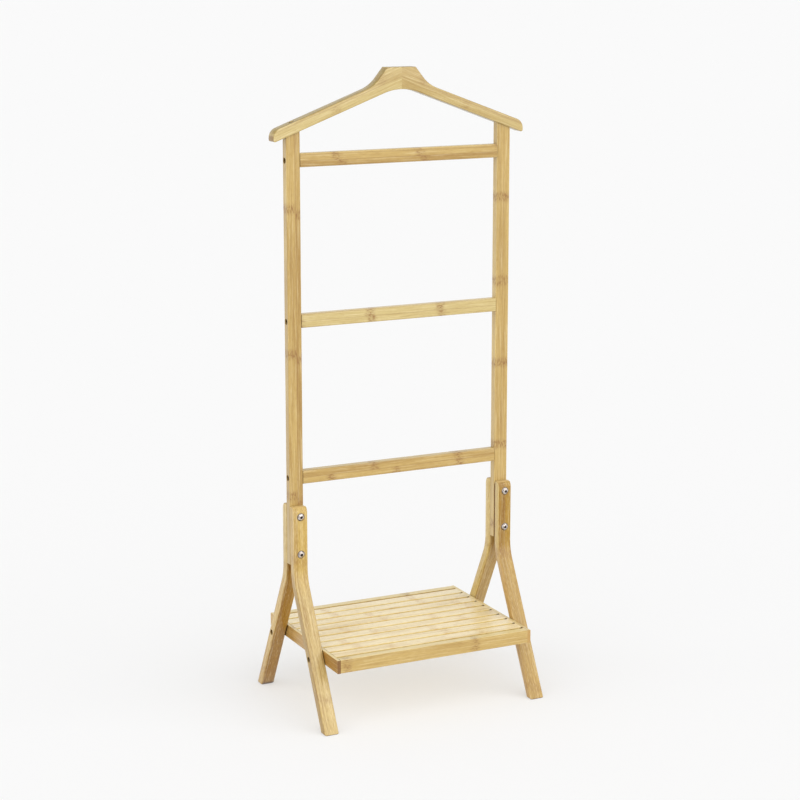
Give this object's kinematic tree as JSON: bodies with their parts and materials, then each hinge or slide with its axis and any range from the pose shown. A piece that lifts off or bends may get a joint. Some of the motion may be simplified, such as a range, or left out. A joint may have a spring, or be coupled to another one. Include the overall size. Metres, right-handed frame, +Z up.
{
  "type": "valet stand",
  "caption": "Free-standing bamboo clothes stand: shoulder-shaped hanger on two posts, trouser rails, bent splayed legs and a slatted shoe shelf near the floor.",
  "frame": {"origin": "on the floor at the centre of the footprint", "axes": "+Z up, +X to the stand's right as seen from the front, front at -Y"},
  "size_m": [0.462, 0.296, 1.087],
  "materials": {
    "hanger": "satin lacquer",
    "post": "satin lacquer",
    "rail": "satin lacquer",
    "leg": "satin lacquer",
    "shelf_frame": "satin lacquer",
    "slat": "satin lacquer",
    "nickel": "nickel plated"
  },
  "bodies": {
    "root": {"hanger_left": "hanger", "hanger_right": "hanger", "hanger_screws": "nickel", "post_left": "post", "post_right": "post", "rail_top": "rail", "rail_middle": "rail", "rail_lower": "rail", "rail_screws": "nickel", "leg_front_left": "leg", "leg_rear_left": "leg", "leg_front_right": "leg", "leg_rear_right": "leg", "leg_bolts": "nickel", "leg_nuts": "nickel", "shelf_side_left": "shelf_frame", "shelf_side_right": "shelf_frame", "shelf_rail_front": "shelf_frame", "shelf_rail_rear": "shelf_frame", "slat_1": "slat", "slat_2": "slat", "slat_3": "slat", "slat_4": "slat", "slat_5": "slat", "slat_6": "slat", "slat_7": "slat", "slat_8": "slat", "slat_9": "slat", "shelf_bolts": "nickel", "shelf_nuts": "nickel"}
  },
  "joints": []
}
